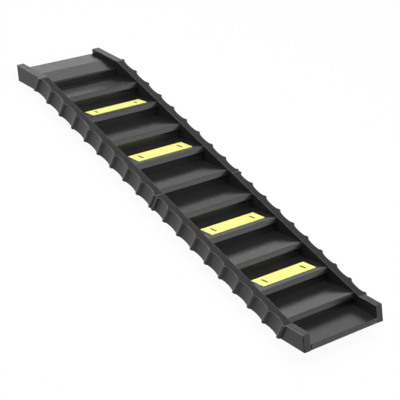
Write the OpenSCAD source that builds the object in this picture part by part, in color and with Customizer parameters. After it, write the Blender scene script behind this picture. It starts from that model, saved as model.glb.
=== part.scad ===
// Folding dog ramp: two moulded halves on steel hinges under the middle seam.
// X runs down the ramp, Y across it and Z square to the slope of the main run.
// The drawing frame has x = 0 at the seam and z = 0 at the rail tops.

/* [Overall] */
// Clear width between the two rails, where the dog walks
walk_w = 328; // [260:1:420]
// Spacing of the ribs along a rail
rib_pitch = 73; // [68:1:90]
// Rib spaces along one half
rib_spaces = 9; // [8:1:11]
// Steps on one half
half_steps = 5; // [4:1:6]
// Angle by which the landing and the toe bend away from the main run
bend = 16; // [10:1:20]
// Length of the landing along its rail tops
landing_run = 139; // [125:1:180]
// Length of the toe along its rail tops
toe_run = 76; // [65:1:110]
// Lean of the end faces and nosings off the square of the main run
lean = 35; // [28:1:38]
// Lean of the risers below the nosings
riser_lean = 22; // [15:1:32]
// Gap between the two halves at the seam
seam_gap = 0.5; // [0.3:0.1:1]

/* [Rails] */
// Height of a rail on the main run
rail_h = 56; // [54:0.5:64]
// Width of a rail from its inner face to the root of its ribs
rail_w = 34.5; // [32:0.5:42]
// Wall of a rail
rail_wall = 3; // [2.5:0.1:4]
// Thickness of the cross webs inside a rail
rail_web = 4; // [3:0.5:6]
// Depth of the hollow between two ribs
scallop_depth = 6; // [4:0.5:8]
// Radius of a rib
rib_r = 8.5; // [6:0.5:9]
// How far the ribs stand out of their root
rib_proud = 5.5; // [3.5:0.5:6]
// How far the ribs are set towards the landing
rib_shift = 4; // [0:0.5:5]
// Radius of the two ribs that meet at the seam
seam_rib_r = 7; // [5.5:0.5:8]
// Step in of the flat outer face on the landing and the toe
end_inset = 4; // [2:0.5:5]
// Chamfer on the top and outer edges of the rail ends
end_chamfer = 3; // [1:0.5:5]
// Length of the solid block that carries the hinge at the seam
hinge_block = 18; // [16:0.5:24]

/* [Step panels] */
// Sheet thickness of the steps
panel_t = 3.5; // [3:0.1:3.8]
// Thickness of the lengthwise webs under the steps
panel_web_t = 2.5; // [2:0.1:4]
// Thickness of the side flanges that bolt to the rails
flange_t = 4; // [3:0.5:6]
// Lengthwise webs between the side flanges
panel_webs = 5; // [3:1:7]
// Gap between a step panel and a rail
panel_gap = 0.2; // [0.1:0.1:0.5]
// How far the panel's underside stays above the rail's underside
under_gap = 0.5; // [0.3:0.1:2]
// How far the panel's end faces lie behind the rail's end faces
end_step = 0.5; // [0.5:0.5:3]
// Nosing edge behind the end of its step
nosing_back = 22.4; // [20:0.1:26]
// Nosing edge below the rail top
nosing_drop = 2; // [1:0.5:5]
// Height of the nosing's face along its lean
nosing_face = 19; // [15:0.5:21]
// Depth of the undercut below the nosing
nosing_lip = 7; // [5:0.5:8]
// Depth of the foot of a riser below the rail top
foot_depth = 49; // [46:0.5:49]
// How far the first nosing below the landing is moved down the ramp
first_forward = 12; // [0:1:16]
// Landing surface below the rail top
landing_drop = 16; // [14:0.5:24]
// Front edge of the landing behind the bend
landing_front = 66; // [50:1:80]
// Apron below the rail top, between the landing and the first riser
apron_depth = 24; // [20:0.5:30]
// Front edge of the apron past the bend
apron_front = 8; // [4:1:12]
// Toe floor below the rail top, square to the toe
toe_floor_depth = 36.5; // [34:0.5:38]

/* [Grip strips] */
// Length of a grip strip across the ramp
strip_len = 255; // [200:1:300]
// Width of a grip strip along its tread
strip_w = 57; // [50:1:70]
// Width of the narrow strip on the second step
strip_narrow_w = 44; // [38:1:60]
// Thickness of a grip strip
strip_t = 1.6; // [1:0.1:3]
// Front edge of a strip behind the nosing edge
strip_front = 21; // [15:1:25]
// Front edge of the narrow strip behind the nosing edge
strip_narrow_front = 18; // [15:1:25]
// Length of a strip's slots along the tread
slot_len = 30; // [20:1:34]
// Length of the slots in the narrow strip
slot_narrow_len = 20; // [14:1:24]
// Width of a strip's slots
slot_w = 9; // [4:0.5:12]
// Distance from the middle of the ramp to a slot
slot_y = 93; // [60:1:110]
// Clearance of the tongues in the slots
slot_fit = 0.4; // [0.2:0.1:0.8]
// How far the tongues stay below the top of the strip
tongue_sunk = 0.4; // [0.2:0.1:0.8]

/* [Hinges] */
// Width of a hinge leaf
leaf_w = 26; // [24:0.5:27]
// Height of a hinge leaf above the rail's underside
leaf_h = 38; // [36:0.5:44]
// Thickness of a hinge leaf
leaf_t = 2; // [1.5:0.1:2.5]
// Clearance round a leaf in its seat
leaf_fit = 0.3; // [0.2:0.1:0.6]
// Radius of the knuckles
knuckle_r = 4.5; // [4:0.1:5]
// Hinge axis below the rail's underside
axis_drop = 2.5; // [2.3:0.1:3]
// Radius of the hinge pin
pin_r = 2.2; // [1.8:0.1:2.6]
// Radial running clearance of the pin in the knuckles
pin_fit = 0.05; // [0.03:0.01:0.08]
// Gap between neighbouring knuckles
knuckle_gap = 0.3; // [0.2:0.1:0.6]
// Clearance round the knuckles
knuckle_fit = 0.5; // [0.4:0.1:0.8]
// Radius of the pin's two heads
pin_head_r = 3.4; // [3:0.1:4]
// Thickness of the pin's heads
pin_head_t = 1.5; // [1:0.1:1.8]

/* [Screws and feet] */
// Radius of the screws
screw_r = 2; // [1.5:0.1:2.2]
// Clearance round a screw in its hole
screw_fit = 0.05; // [0.03:0.01:0.1]
// Head radius of the rail screws
rail_screw_head_r = 4.2; // [3.5:0.1:4.6]
// Head height of the rail screws
rail_screw_head_t = 2.6; // [2:0.1:3.5]
// Length of the rail screws under the head
rail_screw_len = 16; // [14:0.5:20]
// Depth of the rail screws below the rail top
rail_screw_depth = 34; // [30:0.5:38]
// Rail screws behind their nosing edge
rail_screw_back = 12; // [8:0.5:16]
// Depth of the landing's side screws, square to the landing
landing_screw_depth = 36; // [32:0.5:42]
// Landing's side screws behind the bend
landing_screw_back = 78; // [72:1:90]
// Depth of the toe's side screws, square to the toe
toe_screw_depth = 45.5; // [45:0.1:46.5]
// Toe's side screws beyond the bend
toe_screw_out = 52; // [48:1:58]
// Wall of the bosses round the rail screws
boss_wall = 3; // [2:0.5:4]
// Head radius of the hinge screws
hinge_screw_head_r = 3.7; // [3:0.1:4]
// Length of the hinge screws behind the leaf
hinge_screw_len = 11; // [8:0.5:12]
// Sideways spacing of the upper hinge screws
hinge_screw_gap = 15; // [12:0.5:16]
// Upper hinge screws above the rail's underside
hinge_screw_high = 30; // [26:0.5:31]
// Lowest hinge screw above the rail's underside
hinge_screw_low = 14; // [12:0.5:17]
// Length of a rubber foot
foot_len = 46; // [30:1:50]
// Width of a rubber foot
foot_w = 20; // [14:0.5:22]
// Thickness of a rubber foot
foot_t = 2.5; // [2:0.1:3]
// Depth of a foot's seat in the rail
foot_seat = 1; // [0.5:0.1:1.5]
// Clearance round a foot in its seat
foot_fit = 0.2; // [0.1:0.1:0.5]
// Foot behind the lower edge of the rail's end face
foot_back = 8; // [6:1:10]

/* [Hidden] */
$fn = 48;

// The two halves and the two sides, as signs along X and Y
upper = -1;
lower = 1;
left = -1;
right = 1;

charcoal = [0.20, 0.20, 0.21];
step_grey = [0.27, 0.27, 0.28];
strip_yellow = [1.0, 1.0, 0.55];
steel = [0.72, 0.73, 0.75];
black_rubber = [0.08, 0.08, 0.08];

// Lengths along the ramp
half_run = rib_pitch * rib_spaces;
step_pitch = half_run / half_steps;
half_gap = seam_gap / 2;

// Places across the ramp, on the side where Y is positive
rail_in = walk_w / 2;
rail_out = rail_in + rail_w;
rib_y = rail_out + rib_proud - rib_r;
seam_rib_y = rail_out + rib_proud - seam_rib_r;
end_out = rail_out - end_inset;
pocket_out = rail_out - scallop_depth - rail_wall;
panel_half_w = rail_in - panel_gap;
hinge_y = rail_in + rail_w / 2;

// Scallops: arcs of one radius that leave a narrow root under each rib
scallop_chord = rib_pitch / 2 - rib_r / 2;
scallop_r = (scallop_chord ^ 2 + scallop_depth ^ 2) / (2 * scallop_depth);

// Directions in the side view, as pairs of x and z
along = [cos(bend), sin(bend)];
below = [sin(bend), -cos(bend)];
leaning = [sin(lean), -cos(lean)];
dropping = [sin(riser_lean), -cos(riser_lean)];
level = [1, 0];
upright = [0, 1];
end_h = rail_h * cos(bend);
end_lean = lean - bend;
// An amount by which cutting shapes run past the surfaces that they cut
over = 1;

// Side view helpers
function unit(v) = v / norm(v);
function right_of(v) = [v.y, -v.x];
function cross_of(u, v) = u.x * v.y - u.y * v.x;
function meet(p, u, q, v) = p + u * (cross_of(q - p, v) / cross_of(u, v));
function reversed(list) = [for (i = [len(list) - 1:-1:0]) list[i]];

// A path moved to its right by d, with mitred corners
function moved(path, d) = [
    for (i = [0:len(path) - 1])
        let (
            before = i > 0 ? unit(path[i] - path[i - 1]) : unit(path[1] - path[0]),
            after = i < len(path) - 1 ? unit(path[i + 1] - path[i]) : before,
            across = right_of(before) + right_of(after)
        )
        path[i] + across * d / (1 + right_of(before) * right_of(after))
];

// The bend of a half at the rail top, and a point of the bent end section
function bend_top(half) = [half * half_run, 0];
function end_point(half, out, depth) = bend_top(half) + half * out * along + depth * below;

// The end face of a half, set back by inset, at a depth below the rail top
function end_run(half) = half == upper ? landing_run : toe_run;
function face_point(half, inset, depth) =
    end_point(half, end_run(half) - inset + half * depth * tan(end_lean), depth);

// The nosing edge, the lower edge of its face and the root of its undercut
function nose(half, k) = [
    (half == upper ? -half_run : 0) + k * step_pitch - nosing_back
        + (half == upper && k == 1 ? first_forward : 0),
    -nosing_drop
];
function nose_bottom(half, k) = nose(half, k) + nosing_face * leaning;
function nose_root(half, k) = nose_bottom(half, k) + nosing_lip * right_of(leaning);
function down_riser(p, depth) = p + dropping * ((depth + p.y) / cos(riser_lean));

// The back of each tread
apron_edge = [-half_run + apron_front, -apron_depth];
function foot(half, k) =
    k > 1 ? down_riser(nose_root(half, k - 1), foot_depth)
    : half == upper ? down_riser(apron_edge, foot_depth)
    : [half_gap, -foot_depth];
function tread_tilt(half, k) =
    atan2(nose(half, k).y - foot(half, k).y, nose(half, k).x - foot(half, k).x);

// The last riser of the upper half ends at the seam or just before it
last_root = nose_root(upper, half_steps);
last_foot = down_riser(last_root, foot_depth);
seam_cross = meet(last_root, dropping, [-half_gap, 0], upright);
seam_feet = last_foot.x < -half_gap ? [last_foot, [-half_gap, -foot_depth]] : [seam_cross];

// The underside of a panel
panel_low = rail_h - under_gap;
end_low = end_h - under_gap;
function panel_bend(half) =
    meet([0, -panel_low], level, end_point(half, 0, end_low), along);

// The toe floor starts at the last riser of the lower half
toe_foot = meet(nose_root(lower, half_steps), dropping, end_point(lower, 0, toe_floor_depth), along);

function step_path(half, k) = [
    foot(half, k), nose(half, k), nose_bottom(half, k), nose_root(half, k)
];
function all_steps(half) = [for (k = [1:half_steps]) each step_path(half, k)];

upper_path = concat(
    [
        face_point(upper, end_step, end_low),
        face_point(upper, end_step, landing_drop),
        end_point(upper, landing_front, landing_drop),
        apron_edge
    ],
    all_steps(upper),
    seam_feet,
    [[-half_gap, -panel_low]]
);
lower_path = concat(
    [[half_gap, -panel_low]],
    all_steps(lower),
    [
        toe_foot,
        face_point(lower, end_step, toe_floor_depth),
        face_point(lower, end_step, end_low)
    ]
);
function panel_path(half) = half == upper ? upper_path : lower_path;

// The steps that carry a strip: step number, half, width, slot length and front edge
STRIPS = [
    [2, upper, strip_narrow_w, slot_narrow_len, strip_narrow_front],
    [4, upper, strip_w, slot_len, strip_front],
    [2, lower, strip_w, slot_len, strip_front],
    [4, lower, strip_w, slot_len, strip_front]
];

// Extent of the whole ramp, for the origin at the middle of its lowest face
top_end_x = (face_point(upper, 0, 0) + end_chamfer * leaning).x;
toe_end_x = face_point(lower, 0, end_h).x;
foot_corner = end_point(upper, end_run(upper) - end_h * tan(end_lean) - foot_back,
                        end_h - foot_seat + foot_t);
mid_x = (top_end_x + toe_end_x) / 2;
floor_z = min(foot_corner.y, face_point(upper, 0, end_h).y);

module in_frame() {
    translate([-mid_x, 0, -floor_z]) children();
}

// Stands a side view outline up and gives it the width from y0 to y1
module across(y0, y1) {
    translate([0, y1, 0]) rotate([90, 0, 0]) linear_extrude(y1 - y0) children();
}

// Lays children in the frame of a bent end: x along it and z square to it
module at_end(half) {
    translate([half * half_run, 0, 0]) rotate([0, -bend, 0]) children();
}

// Lays children on a tread: origin at the nosing edge, x uphill to downhill along the tread
module at_tread(half, k) {
    translate([nose(half, k).x, 0, nose(half, k).y]) rotate([0, -tread_tilt(half, k), 0]) children();
}

// A cylinder along Y from y0 to y1
module bar(r, y0, y1) {
    translate([0, y1, 0]) rotate([90, 0, 0]) cylinder(r = r, h = y1 - y0);
}

module on_side(side) {
    if (side == left) mirror([0, 1, 0]) children();
    else children();
}

// Places of the side screws of a half, as pairs of x and z
function side_screws(half) = concat(
    [for (k = [1:half_steps]) [nose(half, k).x - rail_screw_back, -rail_screw_depth]],
    [half == upper ? end_point(upper, landing_screw_back, landing_screw_depth)
                   : end_point(lower, toe_screw_out, toe_screw_depth)]
);

// Rails
module main_side(half) {
    polygon([
        [half * half_gap, 0], [half * half_gap, -rail_h],
        [half * half_run, -rail_h], [half * half_run, 0]
    ]);
}

module end_side(half) {
    tuck = half * (half_run - rib_r);
    top = face_point(half, 0, 0);
    polygon([
        [tuck, 0],
        [half * half_run, 0],
        top - half * end_chamfer * along,
        top + end_chamfer * leaning,
        face_point(half, 0, end_h),
        [half * half_run, -rail_h],
        [tuck, -rail_h]
    ]);
}

module rib(x, y, r) {
    translate([x, y, -rail_h]) cylinder(r = r, h = 2 * rail_h);
}

module end_edge_cut(half) {
    top = face_point(half, 0, 0);
    size = end_chamfer * sqrt(2);
    translate([top.x, end_out, top.y]) rotate([0, -lean, 0]) rotate([0, 0, 45])
        cube([size, size, 4 * rail_h], center = true);
}

module rail_blank(half) {
    difference() {
        across(rail_in, rail_out) main_side(half);
        for (k = [0:rib_spaces - 1])
            translate([half * (k + 0.5) * rib_pitch - rib_shift, rail_out - scallop_depth + scallop_r, -rail_h - over])
                cylinder(r = scallop_r, h = rail_h + 2 * over, $fn = 96);
    }
    difference() {
        across(rail_in, end_out) end_side(half);
        end_edge_cut(half);
    }
    intersection() {
        union() {
            for (k = [1:rib_spaces])
                rib(half * k * rib_pitch - rib_shift, rib_y, rib_r);
            rib(half * (half_gap + seam_rib_r), seam_rib_y, seam_rib_r);
        }
        across(rail_in, rail_out + rib_proud + over) {
            main_side(half);
            end_side(half);
        }
    }
}

// Hollows of a rail, open to the underside
module rail_pockets(half) {
    for (k = [0:rib_spaces - 1]) {
        from = k == 0 ? hinge_block : k * rib_pitch + rail_web / 2;
        to = (k + 1) * rib_pitch - rail_web / 2;
        translate([min(half * from, half * to), rail_in + rail_wall, -rail_h - over])
            cube([to - from, pocket_out - rail_in - rail_wall, rail_h - rail_wall + over]);
    }
    start = half * (half_run + rail_web / 2);
    stop = foot_inner(half);
    across(rail_in + rail_wall, pocket_out)
        polygon([
            meet(end_point(half, 0, rail_wall), along, [start, 0], upright),
            end_point(half, stop, rail_wall),
            end_point(half, stop, end_h + over),
            meet(end_point(half, 0, end_h + over), along, [start, 0], upright)
        ]);
}

// Where a foot starts, measured from the bend, less the wall beside its seat
function foot_inner(half) =
    end_run(half) + half * end_h * tan(end_lean) - foot_back - foot_len - rail_wall;

module foot_block(half, grow, low, high) {
    out = end_run(half) + half * end_h * tan(end_lean) - foot_back - foot_len / 2;
    length = foot_len + 2 * grow;
    width = foot_w + 2 * grow;
    at_end(half)
        translate([half * out - length / 2, (rail_in + end_out) / 2 - width / 2, -end_h + low])
            cube([length, width, high - low]);
}

module side_screw_holes(half, r, y0, y1) {
    for (p = side_screws(half))
        translate([p.x, 0, p.y]) bar(r, y0, y1);
}

module rail(half) {
    boss_end = rail_in - flange_t + rail_screw_len + boss_wall;
    difference() {
        union() {
            difference() {
                rail_blank(half);
                rail_pockets(half);
            }
            for (k = [1:half_steps])
                translate([nose(half, k).x - rail_screw_back, 0, -rail_screw_depth])
                    bar(screw_r + boss_wall, rail_in + rail_wall / 2, boss_end);
        }
        side_screw_holes(half, screw_r + screw_fit, rail_in - over, boss_end - boss_wall / 2);
        hinge_seat(half);
        hinge_screw_holes(half);
        knuckle_relief();
        foot_block(half, foot_fit, -over, foot_seat);
    }
}

// Step panels
module panel(half) {
    path = panel_path(half);
    core = moved(path, panel_t / 2);
    web_outline = concat(core, [panel_bend(half)]);
    difference() {
        union() {
            across(-panel_half_w, panel_half_w)
                polygon(concat(path, reversed(moved(path, panel_t))));
            for (i = [1:panel_webs]) {
                y = -rail_in + i * walk_w / (panel_webs + 1);
                across(y - panel_web_t / 2, y + panel_web_t / 2) polygon(web_outline);
            }
            for (side = [left, right])
                on_side(side) across(panel_half_w - flange_t, panel_half_w) polygon(web_outline);
            for (s = STRIPS)
                if (s[1] == half) strip_tongues(s);
        }
        for (side = [left, right])
            on_side(side)
                side_screw_holes(half, screw_r + screw_fit, panel_half_w - flange_t - over, rail_in);
    }
}

// Grip strips
module strip_slots(s, shrink, low, high) {
    length = s[3] - 2 * shrink;
    width = slot_w - 2 * shrink;
    for (side = [left, right])
        translate([-s[4] - s[2] / 2 - length / 2, side * slot_y - width / 2, low])
            cube([length, width, high - low]);
}

module strip_tongues(s) {
    at_tread(s[1], s[0]) strip_slots(s, slot_fit, -panel_t / 2, strip_t - tongue_sunk);
}

module grip_strip(s) {
    at_tread(s[1], s[0]) difference() {
        translate([-s[4] - s[2], -strip_len / 2, 0]) cube([s[2], strip_len, strip_t]);
        strip_slots(s, 0, -over, strip_t + over);
    }
}

// Hinges, drawn for the side where Y is positive
module at_axis() {
    translate([0, hinge_y, -rail_h - axis_drop]) children();
}

// The middle knuckle belongs to the lower leaf and the outer two to the upper leaf
knuckle_cut = leaf_w / 6;
function knuckles(half) = half == upper
    ? [[-leaf_w / 2, -knuckle_cut - knuckle_gap / 2], [knuckle_cut + knuckle_gap / 2, leaf_w / 2]]
    : [[-knuckle_cut + knuckle_gap / 2, knuckle_cut - knuckle_gap / 2]];

module hinge_plate(half) {
    translate([half == upper ? -half_gap - leaf_t : half_gap, hinge_y - leaf_w / 2, -rail_h - axis_drop])
        cube([leaf_t, leaf_w, axis_drop + leaf_h]);
}

module hinge_screw_places() {
    for (p = [[-hinge_screw_gap / 2, hinge_screw_high], [hinge_screw_gap / 2, hinge_screw_high],
              [0, hinge_screw_low]])
        translate([0, hinge_y + p.x, -rail_h + p.y]) children();
}

// A countersunk screw shape with its head face on the seam face of a leaf
module countersunk(half, fit, length) {
    head_h = hinge_screw_head_r - screw_r;
    translate([half * half_gap, 0, 0]) rotate([0, half * 90, 0]) {
        cylinder(r1 = hinge_screw_head_r + fit, r2 = screw_r + fit, h = head_h);
        cylinder(r = screw_r + fit, h = length);
    }
}

module hinge_leaf(half) {
    difference() {
        union() {
            difference() {
                hinge_plate(half);
                at_axis()
                    for (k = knuckles(-half))
                        bar(knuckle_r + knuckle_fit, k[0] - knuckle_gap, k[1] + knuckle_gap);
            }
            at_axis()
                for (k = knuckles(half))
                    bar(knuckle_r, k[0], k[1]);
        }
        at_axis() bar(pin_r + pin_fit, -leaf_w / 2 - over, leaf_w / 2 + over);
        hinge_screw_places() countersunk(half, screw_fit, leaf_t + over);
    }
}

module hinge_pin() {
    shank = leaf_w / 2 + knuckle_gap / 2;
    at_axis() {
        bar(pin_r, -shank - pin_head_t / 2, shank + pin_head_t / 2);
        bar(pin_head_r, shank, shank + pin_head_t);
        bar(pin_head_r, -shank - pin_head_t, -shank);
    }
}

module hinge_seat(half) {
    seat_w = leaf_w + 2 * leaf_fit;
    depth = leaf_t + half_gap;
    translate([half == upper ? -depth : 0, hinge_y - seat_w / 2, -rail_h - over])
        cube([depth, seat_w, leaf_h + leaf_fit + over]);
}

module hinge_screw_holes(half) {
    reach = leaf_t + hinge_screw_len + rail_web / 4;
    hinge_screw_places()
        translate([half * half_gap, 0, 0]) rotate([0, half * 90, 0])
            cylinder(r = screw_r + screw_fit, h = reach);
}

module knuckle_relief() {
    reach = leaf_w / 2 + knuckle_gap + pin_head_t + knuckle_fit;
    at_axis() bar(knuckle_r + knuckle_fit, -reach, reach);
}

module hinge_screws(half) {
    for (side = [left, right])
        on_side(side)
            hinge_screw_places() countersunk(half, 0, leaf_t + hinge_screw_len);
}

// Screws that hold a step panel between its two rails
module rail_screws(half) {
    head = panel_half_w - flange_t;
    for (side = [left, right])
        on_side(side)
            for (p = side_screws(half))
                translate([p.x, 0, p.y]) {
                    bar(rail_screw_head_r, head - rail_screw_head_t, head);
                    bar(screw_r, head - rail_screw_head_t / 2, head + rail_screw_len);
                }
}

module rubber_feet(half) {
    for (side = [left, right])
        on_side(side) foot_block(half, 0, foot_seat - foot_t, foot_seat);
}

module upper_step_panel() { color(step_grey) in_frame() panel(upper); }
module lower_step_panel() { color(step_grey) in_frame() panel(lower); }
module upper_left_rail() { color(charcoal) in_frame() on_side(left) rail(upper); }
module upper_right_rail() { color(charcoal) in_frame() on_side(right) rail(upper); }
module lower_left_rail() { color(charcoal) in_frame() on_side(left) rail(lower); }
module lower_right_rail() { color(charcoal) in_frame() on_side(right) rail(lower); }
module grip_strip_1() { color(strip_yellow) in_frame() grip_strip(STRIPS[0]); }
module grip_strip_2() { color(strip_yellow) in_frame() grip_strip(STRIPS[1]); }
module grip_strip_3() { color(strip_yellow) in_frame() grip_strip(STRIPS[2]); }
module grip_strip_4() { color(strip_yellow) in_frame() grip_strip(STRIPS[3]); }
module upper_left_hinge_leaf() { color(steel) in_frame() on_side(left) hinge_leaf(upper); }
module upper_right_hinge_leaf() { color(steel) in_frame() on_side(right) hinge_leaf(upper); }
module lower_left_hinge_leaf() { color(steel) in_frame() on_side(left) hinge_leaf(lower); }
module lower_right_hinge_leaf() { color(steel) in_frame() on_side(right) hinge_leaf(lower); }
module left_hinge_pin() { color(steel) in_frame() on_side(left) hinge_pin(); }
module right_hinge_pin() { color(steel) in_frame() on_side(right) hinge_pin(); }
module upper_rail_screws() { color(steel) in_frame() rail_screws(upper); }
module lower_rail_screws() { color(steel) in_frame() rail_screws(lower); }
module upper_hinge_screws() { color(steel) in_frame() hinge_screws(upper); }
module lower_hinge_screws() { color(steel) in_frame() hinge_screws(lower); }
module upper_rubber_feet() { color(black_rubber) in_frame() rubber_feet(upper); }
module lower_rubber_feet() { color(black_rubber) in_frame() rubber_feet(lower); }

upper_step_panel();
lower_step_panel();
upper_left_rail();
upper_right_rail();
lower_left_rail();
lower_right_rail();
grip_strip_1();
grip_strip_2();
grip_strip_3();
grip_strip_4();
upper_left_hinge_leaf();
upper_right_hinge_leaf();
lower_left_hinge_leaf();
lower_right_hinge_leaf();
left_hinge_pin();
right_hinge_pin();
upper_rail_screws();
lower_rail_screws();
upper_hinge_screws();
lower_hinge_screws();
upper_rubber_feet();
lower_rubber_feet();
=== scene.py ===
from math import atan2, cos, radians, sin, tan

import bmesh
import bpy
from mathutils import Matrix, Vector


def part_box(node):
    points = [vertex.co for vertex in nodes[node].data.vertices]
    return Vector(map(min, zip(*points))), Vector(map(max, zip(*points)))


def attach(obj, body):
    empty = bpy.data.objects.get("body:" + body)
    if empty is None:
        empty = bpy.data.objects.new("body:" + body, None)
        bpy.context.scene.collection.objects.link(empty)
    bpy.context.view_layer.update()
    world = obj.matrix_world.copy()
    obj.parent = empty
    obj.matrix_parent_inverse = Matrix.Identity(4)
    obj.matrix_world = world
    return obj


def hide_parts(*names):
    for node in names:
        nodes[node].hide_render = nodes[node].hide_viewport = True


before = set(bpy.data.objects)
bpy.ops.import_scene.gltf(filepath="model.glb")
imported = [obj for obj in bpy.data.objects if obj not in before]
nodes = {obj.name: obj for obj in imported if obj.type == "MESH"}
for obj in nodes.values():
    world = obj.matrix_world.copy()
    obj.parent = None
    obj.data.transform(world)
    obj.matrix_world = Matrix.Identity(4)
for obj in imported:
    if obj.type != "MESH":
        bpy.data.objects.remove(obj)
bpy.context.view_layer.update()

# The drawing is in millimetres: x = 0 at the seam, y = 0 in the middle, z = 0 at the rail tops
mm = 0.001
seamX = (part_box("upper_left_rail")[1].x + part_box("lower_left_rail")[0].x) / 2
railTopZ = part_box("upper_left_rail")[1].z
upper = -1
lower = 1

ramp = {
    "walkWidth": 328.0,      # clear width between the rails
    "halfRun": 657.0,        # from the seam to the bend
    "steps": 5,              # on one half
    "bend": radians(16),     # of the landing and the toe
    "lean": radians(35),     # of nosings and end faces
    "riserLean": radians(22),
    "landingRun": 139.0,     # along the rail tops, past the bend
    "toeRun": 76.0,
    "railHeight": 56.0,
    "seamGap": 0.5,
}


def place(x, y, z):
    return Vector((seamX + x * mm, y * mm, railTopZ + z * mm))


# Side view helpers: points are pairs of x and z

along = Vector((cos(ramp["bend"]), sin(ramp["bend"])))
below = Vector((sin(ramp["bend"]), -cos(ramp["bend"])))
leaning = Vector((sin(ramp["lean"]), -cos(ramp["lean"])))
dropping = Vector((sin(ramp["riserLean"]), -cos(ramp["riserLean"])))
level = Vector((1, 0))
upright = Vector((0, 1))
halfGap = ramp["seamGap"] / 2
endHeight = ramp["railHeight"] * cos(ramp["bend"])
arcShare = 0.48              # of a side, the most that the arc of one corner takes up
arcLeast = 0.01              # mm, below which a corner stays sharp


def rightOf(way):
    return Vector((way.y, -way.x))


def crossOf(first, second):
    return first.x * second.y - first.y * second.x


def meet(point, way, other, otherWay):
    # Where the line through a point crosses the line through another
    return point + way * (crossOf(other - point, otherWay) / crossOf(way, otherWay))


def endPoint(half, out, depth):
    # On a bent end, out along it from the bend and down from the rail tops
    return Vector((half * ramp["halfRun"], 0)) + along * (half * out) + below * depth


def facePoint(half, inset, depth):
    # On the leaning face that closes a bent end, or inset behind it
    run = ramp["landingRun"] if half == upper else ramp["toeRun"]
    return endPoint(half, run - inset + half * depth * tan(ramp["lean"] - ramp["bend"]), depth)


def offsetPath(path, distance):
    # The path moved to its right, with mitred corners
    moved = []
    for i, point in enumerate(path):
        before = (point - path[i - 1]).normalized() if i > 0 else (path[1] - point).normalized()
        after = (path[i + 1] - point).normalized() if i < len(path) - 1 else before
        side = rightOf(before) + rightOf(after)
        moved.append(point + side * (distance / (1 + rightOf(before).dot(rightOf(after)))))
    return moved


def roundPath(path, rounds, arcStep):
    # Each inner corner becomes an arc of its own radius, as far as its sides allow
    out = [path[0]]
    for i in range(1, len(path) - 1):
        before, point, after = path[i - 1], path[i], path[i + 1]
        inward = (point - before).normalized()
        onward = (after - point).normalized()
        turn = atan2(crossOf(inward, onward), inward.dot(onward))
        room = arcShare * min((point - before).length, (after - point).length)
        reach = min(rounds[i] * abs(tan(turn / 2)), room)
        if reach < arcLeast:
            out.append(point)
            continue
        count = max(2, round(abs(turn) / arcStep))
        radius = reach / abs(tan(turn / 2))
        centre = point - inward * reach - rightOf(inward) * (radius if turn > 0 else -radius)
        start = point - inward * reach - centre
        for k in range(count + 1):
            angle = turn * k / count
            armX = start.x * cos(angle) - start.y * sin(angle)
            armZ = start.x * sin(angle) + start.y * cos(angle)
            out.append(centre + Vector((armX, armZ)))
    out.append(path[-1])
    return out


# Mesh helpers

def closedMesh(near, far):
    # Two rings of as many points, joined into a closed solid
    work = bmesh.new()
    nearRing = [work.verts.new(point) for point in near]
    farRing = [work.verts.new(point) for point in far]
    work.faces.new(nearRing)
    work.faces.new(farRing[::-1])
    for i in range(len(near)):
        j = (i + 1) % len(near)
        work.faces.new((nearRing[i], farRing[i], farRing[j], nearRing[j]))
    bmesh.ops.recalc_face_normals(work, faces=work.faces)
    mesh = bpy.data.meshes.new("solid")
    work.to_mesh(mesh)
    work.free()
    return mesh


def prism(outline, y0, y1):
    # A closed side view outline, stood up between y0 and y1
    return closedMesh([place(p.x, y0, p.y) for p in outline], [place(p.x, y1, p.y) for p in outline])


def newPiece(name, mesh):
    piece = bpy.data.objects.new(name, mesh)
    mesh.name = name
    bpy.context.scene.collection.objects.link(piece)
    return piece


def applyAll(piece):
    depsgraph = bpy.context.evaluated_depsgraph_get()
    made = bpy.data.meshes.new_from_object(piece.evaluated_get(depsgraph))
    piece.modifiers.clear()
    made.name = piece.name
    piece.data = made


def combine(piece, meshes, operation):
    # UNION joins closed meshes into the piece as one skin, DIFFERENCE cuts them out of it
    for index, mesh in enumerate(meshes):
        part = newPiece(f"{piece.name}Part{index}", mesh)
        step = piece.modifiers.new("combine", "BOOLEAN")
        step.operation = operation
        step.solver = "MANIFOLD"
        step.object = part
        applyAll(piece)
        bpy.data.objects.remove(part)


def evenNormals(piece):
    even = piece.modifiers.new("evenNormals", "WEIGHTED_NORMAL")
    even.keep_sharp = True


def smoothFaces(piece, limit):
    # Smooth shading that stops at edges sharper than limit
    work = bmesh.new()
    work.from_mesh(piece.data)
    for face in work.faces:
        face.smooth = True
    for edge in work.edges:
        edge.smooth = len(edge.link_faces) == 2 and edge.calc_face_angle(0) < limit
    work.to_mesh(piece.data)
    work.free()
    evenNormals(piece)


softening = {
    "weld": 0.01,            # mm, joins the corners of neighbouring faces
    "flat": radians(0.5),    # faces closer than this become one
    "sharp": radians(32),    # edges sharper than this are rounded
}


def softenEdges(node, width, segments):
    # Rounds the sharp edges of a part whose shape stays
    weld = node.modifiers.new("weld", "WELD")
    weld.merge_threshold = softening["weld"] * mm
    flat = node.modifiers.new("flatFaces", "DECIMATE")
    flat.decimate_type = "DISSOLVE"
    flat.angle_limit = softening["flat"]
    edge = node.modifiers.new("softEdges", "BEVEL")
    edge.width = width * mm
    edge.segments = segments
    edge.limit_method = "ANGLE"
    edge.angle_limit = softening["sharp"]
    edge.use_clamp_overlap = True
    edge.harden_normals = True
    evenNormals(node)


# Material helpers

mixShare = 0                 # sockets of a Mix node that is set to colours
mixFirst = 6
mixSecond = 7
mixResult = 2
whole = (0, 1)


def surface(name, colour, roughness):
    material = bpy.data.materials.new(name)
    material.use_nodes = True
    shader = material.node_tree.nodes["Principled BSDF"]
    shader.inputs["Base Color"].default_value = (*colour, 1)
    shader.inputs["Roughness"].default_value = roughness
    return material, material.node_tree, shader


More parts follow.
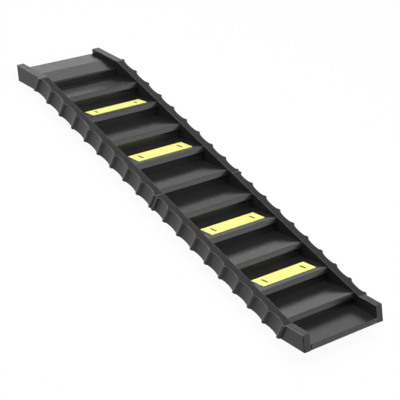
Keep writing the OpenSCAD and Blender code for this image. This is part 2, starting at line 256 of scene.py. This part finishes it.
def noise(tree, scale, detail):
    # Noise that stays with the piece when it moves
    coords = tree.nodes.new("ShaderNodeTexCoord")
    cells = tree.nodes.new("ShaderNodeTexNoise")
    cells.inputs["Scale"].default_value = scale
    cells.inputs["Detail"].default_value = detail
    tree.links.new(coords.outputs["Object"], cells.inputs["Vector"])
    return cells.outputs["Fac"]


def rescale(tree, value, source, target, interpolation="LINEAR"):
    # Takes the value from one range to another and holds it at the ends
    change = tree.nodes.new("ShaderNodeMapRange")
    change.interpolation_type = interpolation
    for socket, number in zip(("From Min", "From Max", "To Min", "To Max"), (*source, *target)):
        change.inputs[socket].default_value = number
    tree.links.new(value, change.inputs["Value"])
    return change.outputs["Result"]


def calculate(tree, operation, first, second):
    step = tree.nodes.new("ShaderNodeMath")
    step.operation = operation
    tree.links.new(first, step.inputs[0])
    tree.links.new(second, step.inputs[1])
    return step.outputs[0]


def bumps(tree, shader, height, strength, depth):
    bump = tree.nodes.new("ShaderNodeBump")
    bump.inputs["Strength"].default_value = strength
    bump.inputs["Distance"].default_value = depth
    tree.links.new(height, bump.inputs["Height"])
    tree.links.new(bump.outputs["Normal"], shader.inputs["Normal"])


def paintedEdgeHighlight(tree, colour, paintedHighlight):
    # Painted highlight: the rounded outer edges of the tops, where they face up, are a little lighter in
    # patches, standing in for the gloss of light on a rounded edge
    corner = tree.nodes.new("ShaderNodeBevel")
    corner.samples = paintedHighlight["samples"]
    corner.inputs["Radius"].default_value = paintedHighlight["width"]
    skin = tree.nodes.new("ShaderNodeNewGeometry")
    match = tree.nodes.new("ShaderNodeVectorMath")
    match.operation = "DOT_PRODUCT"
    tree.links.new(corner.outputs["Normal"], match.inputs[0])
    tree.links.new(skin.outputs["Normal"], match.inputs[1])
    turned = tree.nodes.new("ShaderNodeVectorTransform")
    turned.vector_type = "NORMAL"
    turned.convert_from = "WORLD"
    turned.convert_to = "OBJECT"
    tree.links.new(corner.outputs["Normal"], turned.inputs[0])
    split = tree.nodes.new("ShaderNodeSeparateXYZ")
    tree.links.new(turned.outputs[0], split.inputs[0])

    atEdge = rescale(tree, match.outputs["Value"], paintedHighlight["atEdge"], whole)
    facingUp = rescale(tree, split.outputs["Z"], paintedHighlight["facingUp"], whole)
    patches = noise(tree, paintedHighlight["patchScale"], paintedHighlight["patchDetail"])
    patchy = rescale(tree, patches, paintedHighlight["patches"], (paintedHighlight["least"], 1))
    # Share of painted highlight: at a rounded edge, facing up, broken into patches
    paintedHighlightShare = calculate(tree, "MULTIPLY", calculate(tree, "MULTIPLY", atEdge, facingUp), patchy)
    lighter = tree.nodes.new("ShaderNodeMix")
    lighter.data_type = "RGBA"
    lighter.inputs[mixSecond].default_value = (*paintedHighlight["colour"], 1)
    tree.links.new(paintedHighlightShare, lighter.inputs[mixShare])
    tree.links.new(colour, lighter.inputs[mixFirst])
    return lighter.outputs[mixResult]


def mouldedPlastic(name, settings):
    material, tree, shader = surface(name, settings["colour"], settings["roughness"])
    shader.inputs["IOR"].default_value = settings["ior"]

    # Slow cloudy change of tone, as in a large moulding
    cloud = noise(tree, settings["cloudScale"], settings["cloudDetail"])
    tint = tree.nodes.new("ShaderNodeMix")
    tint.data_type = "RGBA"
    tint.blend_type = "MULTIPLY"
    tint.inputs[mixShare].default_value = 1
    tint.inputs[mixFirst].default_value = (*settings["colour"], 1)
    tone = rescale(tree, cloud, whole, (1 - settings["cloud"], 1 + settings["cloud"]))
    tree.links.new(tone, tint.inputs[mixSecond])
    colour = tint.outputs[mixResult]
    # Painted highlight on the rounded edges that face up, where the settings ask for it
    if "paintedHighlight" in settings:
        colour = paintedEdgeHighlight(tree, colour, settings["paintedHighlight"])
    tree.links.new(colour, shader.inputs["Base Color"])

    # Fine spark-eroded grain from the mould, which also breaks up the gloss
    grain = noise(tree, settings["grainScale"], settings["grainDetail"])
    bumps(tree, shader, grain, settings["grain"], settings["grainDepth"])
    glossiest = settings["roughness"] - settings["glossChange"]
    dullest = settings["roughness"] + settings["glossChange"]
    tree.links.new(rescale(tree, grain, whole, (glossiest, dullest)), shader.inputs["Roughness"])
    return material


def rubber(name, settings):
    material, tree, shader = surface(name, settings["colour"], settings["roughness"])
    grit = noise(tree, settings["gritScale"], settings["gritDetail"])
    bumps(tree, shader, grit, settings["grit"], settings["gritDepth"])
    return material


def dress(node, material):
    node.data.materials.clear()
    node.data.materials.append(material)


# Step panels

stepPanel = {
    "sheet": 3.5,            # thickness of the steps
    "web": 2.5,              # thickness of a lengthwise web
    "webs": 5,
    "flange": 4.0,
    "sideGap": 0.2,          # to the rails
    "underGap": 0.5,         # above the rails' underside
    "endStep": 0.5,          # behind the rails' end faces
    "grooveWidth": 5.0,      # in the toe's front, beside the left rail
    "grooveDepth": 3.0,
    "grooveOver": 3.0,       # how far its cutter stands past the panel
    "nosingBack": 22.4,      # from the end of a step to its nosing edge
    "nosingDrop": 2.0,
    "nosingFace": 19.0,
    "nosingLip": 7.0,
    "footDepth": 49.0,       # of the low back of a tread
    "firstForward": 12.0,    # the first nosing below the landing
    "landingDrop": 16.0,
    "landingFront": 66.0,
    "apronDepth": 24.0,
    "apronFront": 8.0,       # past the bend
    "toeFloorDepth": 36.5,
    "nosingRound": 1.6,
    "lipRound": 1.2,
    "rootRound": 1.5,
    "footRound": 0.0,
    "landingRound": 14.0,
    "apronRound": 5.0,
    "rimRound": 2.5,
    "toeRound": 1.2,
    "arcStep": radians(7),
    "smoothLimit": radians(30),
    "colour": (0.0148, 0.0141, 0.0147),
    "roughness": 0.27,
    "ior": 1.5,
    "cloudScale": 7.0,
    "cloudDetail": 3,
    "cloud": 0.06,
    "grainScale": 1400.0,
    "grainDetail": 2,
    "grain": 0.25,
    "grainDepth": 0.0002,    # metres
    "glossChange": 0.05,
}

stepPitch = ramp["halfRun"] / ramp["steps"]
apronEdge = Vector((-ramp["halfRun"] + stepPanel["apronFront"], -stepPanel["apronDepth"]))
panelLow = ramp["railHeight"] - stepPanel["underGap"]
endLow = endHeight - stepPanel["underGap"]


def nose(half, step):
    # The front edge of a step, the first one being nearest the landing
    x = (-ramp["halfRun"] if half == upper else 0) + step * stepPitch - stepPanel["nosingBack"]
    if half == upper and step == 1:
        x += stepPanel["firstForward"]
    return Vector((x, -stepPanel["nosingDrop"]))


def noseBottom(half, step):
    return nose(half, step) + leaning * stepPanel["nosingFace"]


def noseRoot(half, step):
    return noseBottom(half, step) + rightOf(leaning) * stepPanel["nosingLip"]


def downRiser(point, depth):
    return point + dropping * ((depth + point.y) / cos(ramp["riserLean"]))


def foot(half, step):
    # The low back of a tread, at the foot of the riser behind it
    if step > 1:
        return downRiser(noseRoot(half, step - 1), stepPanel["footDepth"])
    if half == upper:
        return downRiser(apronEdge, stepPanel["footDepth"])
    return Vector((halfGap, -stepPanel["footDepth"]))


def panelPath(half):
    # The top of a panel in side view, as points and their corner radii
    path = []
    size = stepPanel
    if half == upper:
        path += [
            (facePoint(half, size["endStep"], endLow), 0),
            (facePoint(half, size["endStep"], size["landingDrop"]), size["rimRound"]),
            (endPoint(half, size["landingFront"], size["landingDrop"]), size["landingRound"]),
            (apronEdge, size["apronRound"]),
        ]
    else:
        path += [(Vector((halfGap, -panelLow)), 0)]
    for step in range(1, ramp["steps"] + 1):
        path += [
            (foot(half, step), size["footRound"]),
            (nose(half, step), size["nosingRound"]),
            (noseBottom(half, step), size["lipRound"]),
            (noseRoot(half, step), size["rootRound"]),
        ]
    last = noseRoot(half, ramp["steps"])
    if half == upper:
        lastFoot = downRiser(last, size["footDepth"])
        if lastFoot.x < -halfGap:
            path += [(lastFoot, 0), (Vector((-halfGap, -size["footDepth"])), 0)]
        else:
            path += [(meet(last, dropping, Vector((-halfGap, 0)), upright), 0)]
        path += [(Vector((-halfGap, -panelLow)), 0)]
    else:
        floorPoint = endPoint(half, 0, size["toeFloorDepth"])
        path += [
            (meet(last, dropping, floorPoint, along), size["footRound"]),
            (facePoint(half, size["endStep"], size["toeFloorDepth"]), size["toeRound"]),
            (facePoint(half, size["endStep"], endLow), 0),
        ]
    return [point for point, radius in path], [radius for point, radius in path]


def grooveCutter(edge):
    # A closed groove down the whole front of the toe
    over = stepPanel["grooveOver"]
    high = stepPanel["toeFloorDepth"] - over
    low = endLow + over
    back = stepPanel["endStep"] + stepPanel["grooveDepth"]
    outline = [facePoint(lower, back, high), facePoint(lower, -over, high),
               facePoint(lower, -over, low), facePoint(lower, back, low)]
    return prism(outline, -edge - over, -edge + stepPanel["grooveWidth"])


def makePanel(half, name, node):
    sharp, rounds = panelPath(half)
    top = roundPath(sharp, rounds, stepPanel["arcStep"])
    inner = offsetPath(sharp, stepPanel["sheet"])
    edge = ramp["walkWidth"] / 2 - stepPanel["sideGap"]
    panel = newPiece(name, prism(top + inner[::-1], -edge, edge))

    # Lengthwise webs and the side flanges below the sheet
    core = offsetPath(sharp, stepPanel["sheet"] / 2)
    lowCorner = meet(Vector((0, -panelLow)), level, endPoint(half, 0, endLow), along)
    outline = core + [lowCorner]
    spacing = ramp["walkWidth"] / (stepPanel["webs"] + 1)
    ribs = []
    for i in range(1, stepPanel["webs"] + 1):
        y = -ramp["walkWidth"] / 2 + i * spacing
        ribs.append(prism(outline, y - stepPanel["web"] / 2, y + stepPanel["web"] / 2))
    ribs.append(prism(outline, -edge, -edge + stepPanel["flange"]))
    ribs.append(prism(outline, edge - stepPanel["flange"], edge))
    combine(panel, ribs, "UNION")

    # Each strip is held by two tongues, which stand in pockets under its slots
    for strip in strips["list"]:
        if strip["half"] == half:
            pocketFloor = -strips["pocketDepth"]
            pockets = slotPlugs(strip, strips["pocketFit"], pocketFloor, strips["thick"])
            combine(panel, pockets, "DIFFERENCE")
            tongueLow = pocketFloor - strips["tongueRoot"]
            tongueTop = strips["thick"] - strips["tongueSunk"]
            combine(panel, slotPlugs(strip, strips["tongueFit"], tongueLow, tongueTop), "UNION")
    if half == lower:
        combine(panel, [grooveCutter(edge)], "DIFFERENCE")
    smoothFaces(panel, stepPanel["smoothLimit"])
    dress(panel, stepPlastic)
    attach(panel, "upper_half" if half == upper else "lower_half")
    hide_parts(node)


# Grip strips: levels are above the tread, and fits are how much smaller than the slot all round

strips = {
    "length": 255.0,         # across the ramp
    "thick": 1.6,
    "lift": 0.02,            # from the tread
    "slotWidth": 9.0,
    "slotSide": 93.0,        # from the middle of the ramp to a slot
    "pocketFit": 0.3,
    "pocketDepth": 2.6,
    "tongueFit": 2.7,
    "tongueSunk": 2.0,       # from the strip's top to the tongue's
    "tongueRoot": 0.4,       # below the pocket's floor
    "corner": 1.5,
    "cornerSteps": 6,        # flats in a rounded corner
    "straightLeast": 0.01,   # half of what stays straight between two of them
    "edge": 0.4,
    "edgeSteps": 2,
    "list": [                # front is the distance behind the nosing edge
        {"name": "gripStripTop", "half": upper, "step": 2, "width": 44.0, "front": 18.0, "slot": 20.0},
        {"name": "gripStripSecond", "half": upper, "step": 4, "width": 57.0, "front": 21.0, "slot": 30.0},
        {"name": "gripStripThird", "half": lower, "step": 2, "width": 57.0, "front": 21.0, "slot": 30.0},
        {"name": "gripStripBottom", "half": lower, "step": 4, "width": 57.0, "front": 21.0, "slot": 30.0},
    ],
    "colour": (0.92, 0.91, 0.26),
    "roughness": 0.6,
    "gritScale": 900.0,
    "gritDetail": 3,
    "grit": 0.35,
    "gritDepth": 0.0003,     # metres
}


def treadFrame(strip):
    # The nosing edge, the way up the tread to it and the way out of the tread
    front = nose(strip["half"], strip["step"])
    rise = (front - foot(strip["half"], strip["step"])).normalized()
    return front, rise, Vector((-rise.y, rise.x))


def roundedPlate(strip, length, width, middle, side, corner, low, high):
    # A plate with round corners, flat on the tread: length goes up the tread, width across the ramp
    front, rise, out = treadFrame(strip)
    corner = min(corner, width / 2 - strips["straightLeast"], length / 2 - strips["straightLeast"])
    rim = []
    for lengthSign, widthSign, turn in ((1, 1, 0), (-1, 1, 1), (-1, -1, 2), (1, -1, 3)):
        for i in range(strips["cornerSteps"] + 1):
            angle = radians(90 * turn + 90 * i / strips["cornerSteps"])
            upTread = middle + lengthSign * (length / 2 - corner) + corner * cos(angle)
            across = side + widthSign * (width / 2 - corner) + corner * sin(angle)
            rim.append((upTread, across))
    rings = []
    for height in (low, high):
        ring = []
        for upTread, across in rim:
            point = front + rise * upTread + out * height
            ring.append(place(point.x, across, point.y))
        rings.append(ring)
    return closedMesh(rings[0], rings[1])


def slotPlugs(strip, fit, low, high):
    # Fills both slots of a strip from the low to the high level
    middle = -strip["front"] - strip["width"] / 2
    length = strip["slot"] - 2 * fit
    width = strips["slotWidth"] - 2 * fit
    return [
        roundedPlate(strip, length, width, middle, side * strips["slotSide"], width / 2, low, high)
        for side in (-1, 1)
    ]


def makeStrip(strip, node):
    middle = -strip["front"] - strip["width"] / 2
    plate = roundedPlate(strip, strip["width"], strips["length"], middle, 0, strips["corner"],
                         strips["lift"], strips["thick"])
    piece = newPiece(strip["name"], plate)
    combine(piece, slotPlugs(strip, 0, -strips["thick"], 2 * strips["thick"]), "DIFFERENCE")
    softenEdges(piece, strips["edge"], strips["edgeSteps"])
    dress(piece, gripYellow)
    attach(piece, "upper_half" if strip["half"] == upper else "lower_half")
    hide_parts(node)


stepPlastic = mouldedPlastic("stepPlastic", stepPanel)
makePanel(upper, "upperSteps", "upper_step_panel")
makePanel(lower, "lowerSteps", "lower_step_panel")
print("steps made")

gripYellow = rubber("gripRubber", strips)
for index, strip in enumerate(strips["list"]):
    makeStrip(strip, f"grip_strip_{index + 1}")
print("grip strips made")

# Rails

rails = {
    "edge": 0.8,             # rounding of the edges
    "edgeSteps": 3,
    "paintedHighlight": {                 # painted highlight on the edges of the tops
        "colour": (0.18, 0.18, 0.18),
        "width": 0.004,      # metres
        "samples": 8,
        "atEdge": (0.99, 0.88),      # how alike the plain and the rounded skin are, from no painted highlight to full
        "facingUp": (0.25, 0.55),    # how far the rounded skin faces up, from no painted highlight to full
        "patchScale": 60.0,
        "patchDetail": 2,
        "patches": (0.35, 0.6),
        "least": 0.3,        # painted highlight between the patches
    },
    "colour": (0.026, 0.0252, 0.0259),
    "roughness": 0.3,
    "ior": 1.34,
    "cloudScale": 9.0,
    "cloudDetail": 3,
    "cloud": 0.06,
    "grainScale": 1300.0,
    "grainDetail": 2,
    "grain": 0.3,
    "grainDepth": 0.0002,    # metres
    "glossChange": 0.05,
}

railPlastic = mouldedPlastic("railPlastic", rails)
for name in ("upper_left_rail", "upper_right_rail", "lower_left_rail", "lower_right_rail"):
    dress(nodes[name], railPlastic)
    softenEdges(nodes[name], rails["edge"], rails["edgeSteps"])
print("rails dressed")

# Hinges, screws and feet

steel = {
    "colour": (0.6, 0.6, 0.61),
    "roughness": 0.32,
    "glossier": 0.08,        # mottled from this much below the roughness
    "duller": 0.1,           # to this much above it
    "mottleScale": 400.0,
    "mottleDetail": 2,
}
feet = {
    "edge": 0.6,
    "edgeSteps": 2,
    "colour": (0.018, 0.018, 0.018),
    "roughness": 0.75,
    "gritScale": 1500.0,
    "gritDetail": 2,
    "grit": 0.3,
    "gritDepth": 0.0002,     # metres
}


def zincSteel():
    material, tree, shader = surface("zincSteel", steel["colour"], steel["roughness"])
    shader.inputs["Metallic"].default_value = 1
    mottle = noise(tree, steel["mottleScale"], steel["mottleDetail"])
    spread = (steel["roughness"] - steel["glossier"], steel["roughness"] + steel["duller"])
    tree.links.new(rescale(tree, mottle, whole, spread), shader.inputs["Roughness"])
    return material


zinc = zincSteel()
blackRubber = rubber("footRubber", feet)
for name, node in nodes.items():
    if "hinge" in name or "screws" in name:
        dress(node, zinc)
    if "feet" in name:
        dress(node, blackRubber)
        softenEdges(node, feet["edge"], feet["edgeSteps"])
print("hardware dressed")

# Studio

studio = {
    "cameraPlace": (2.768, -3.9644, 3.4664),
    "cameraAim": (0.0656, -0.0277, 0.06),
    "cameraRoll": radians(23.11),
    "lens": 155.69,
    "filmWidth": 36.0,
    "farthest": 100.0,
    "floorSize": 40.0,
    "floorColour": (0.86, 0.86, 0.86),
    "floorRoughness": 0.9,
    "floorGlow": 0.95,       # share of plain white that the camera and reflections see
    "topLamp": {"power": 57.0, "place": (0.4, 0.3, 2.8), "wide": 1.5, "high": 1.5},
    "frontLamp": {"power": 31.0, "place": (-1.5, -1.87, 2.13), "wide": 0.8, "high": 3.0},
    "sideLamp": {"power": 2100.0, "place": (-10.2, -6.4, 0.12), "wide": 0.8, "high": 0.1},
}
sky = {                      # pairs are where a change starts and ends, in the direction looked
    "front": 0.1,            # strength on the camera's side
    "overhead": 0.4,         # strength straight up
    "overheadFade": (0.2, 0.7),
    "behindFade": (-0.15, 0.4),      # both glows are behind the ramp
    "floorFade": (0.08, 0.17),       # and a little above the floor
    "leftGlow": 2.75,        # past the landing
    "leftFade": (-0.85, -0.36),
    "leftTop": (0.26, 0.5),
    "rightGlow": 2.0,        # past the toe
    "rightFade": (-0.1, 0.5),
    "rightTop": (0.3, 0.6),
}


def makeCamera():
    lens = bpy.data.cameras.new("camera")
    lens.sensor_width = studio["filmWidth"]
    lens.lens = studio["lens"]
    lens.clip_end = studio["farthest"]
    camera = bpy.data.objects.new("camera", lens)
    bpy.context.scene.collection.objects.link(camera)
    eye = Vector(studio["cameraPlace"])
    aim = Vector(studio["cameraAim"])
    turn = (aim - eye).to_track_quat("-Z", "Y").to_matrix().to_4x4()
    camera.matrix_world = Matrix.Translation(eye) @ turn @ Matrix.Rotation(studio["cameraRoll"], 4, "Z")
    bpy.context.scene.camera = camera


def makeFloor():
    # White to the camera and to reflections, plain paper to the lamps, so that shadows stay
    side = studio["floorSize"] / 2
    corners = [(-side, -side, 0), (side, -side, 0), (side, side, 0), (-side, side, 0)]
    mesh = bpy.data.meshes.new("floor")
    mesh.from_pydata(corners, [], [(0, 1, 2, 3)])
    floor = newPiece("floor", mesh)
    material, tree, shader = surface("floorPaper", studio["floorColour"], studio["floorRoughness"])
    shader.inputs["Specular IOR Level"].default_value = 0
    path = tree.nodes.new("ShaderNodeLightPath").outputs
    seen = calculate(tree, "MAXIMUM", path["Is Camera Ray"], path["Is Glossy Ray"])
    seen = calculate(tree, "MAXIMUM", seen, path["Is Transmission Ray"])
    glow = tree.nodes.new("ShaderNodeEmission")
    mix = tree.nodes.new("ShaderNodeMixShader")
    tree.links.new(rescale(tree, seen, whole, (0, studio["floorGlow"])), mix.inputs[0])
    tree.links.new(shader.outputs[0], mix.inputs[1])
    tree.links.new(glow.outputs[0], mix.inputs[2])
    tree.links.new(mix.outputs[0], tree.nodes["Material Output"].inputs["Surface"])
    dress(floor, material)


def makeSky():
    # Bright and low behind the ramp, dimmer overhead and in front
    world = bpy.data.worlds.new("sky")
    bpy.context.scene.world = world
    world.use_nodes = True
    tree = world.node_tree
    coords = tree.nodes.new("ShaderNodeTexCoord")
    split = tree.nodes.new("ShaderNodeSeparateXYZ")
    tree.links.new(coords.outputs["Generated"], split.inputs[0])

    def fade(axis, ends, start, end):
        return rescale(tree, split.outputs[axis], ends, (start, end), "SMOOTHSTEP")

    behind = fade("Y", sky["behindFade"], 0, 1)
    aboveFloor = fade("Z", sky["floorFade"], 0, 1)
    left = fade("X", sky["leftFade"], sky["leftGlow"], 0)
    left = calculate(tree, "MULTIPLY", left, fade("Z", sky["leftTop"], 1, 0))
    right = fade("X", sky["rightFade"], 0, sky["rightGlow"])
    right = calculate(tree, "MULTIPLY", right, fade("Z", sky["rightTop"], 1, 0))
    where = calculate(tree, "MULTIPLY", behind, aboveFloor)
    glow = calculate(tree, "MULTIPLY", where, calculate(tree, "ADD", left, right))
    above = fade("Z", sky["overheadFade"], sky["front"], sky["overhead"])
    background = tree.nodes["Background"]
    background.inputs["Color"].default_value = (1, 1, 1, 1)
    tree.links.new(calculate(tree, "ADD", glow, above), background.inputs["Strength"])


def makeLamp(name, settings):
    data = bpy.data.lights.new(name, "AREA")
    data.shape = "RECTANGLE"
    data.energy = settings["power"]
    data.size = settings["wide"]
    data.size_y = settings["high"]
    lamp = bpy.data.objects.new(name, data)
    bpy.context.scene.collection.objects.link(lamp)
    lamp.location = settings["place"]
    lamp.rotation_euler = (-lamp.location).to_track_quat("-Z", "Y").to_euler()
    return lamp


makeCamera()
makeFloor()
makeSky()
makeLamp("topLamp", studio["topLamp"])
makeLamp("frontLamp", studio["frontLamp"])
sideLamp = makeLamp("sideLamp", studio["sideLamp"])
outerWall = bpy.data.collections.new("outerWall")  # the low side lamp is shaded off the rest
outerWall.objects.link(nodes["upper_left_rail"])
outerWall.objects.link(nodes["lower_left_rail"])
sideLamp.light_linking.receiver_collection = outerWall
bpy.context.scene.view_settings.view_transform = "Standard"
print("studio made")
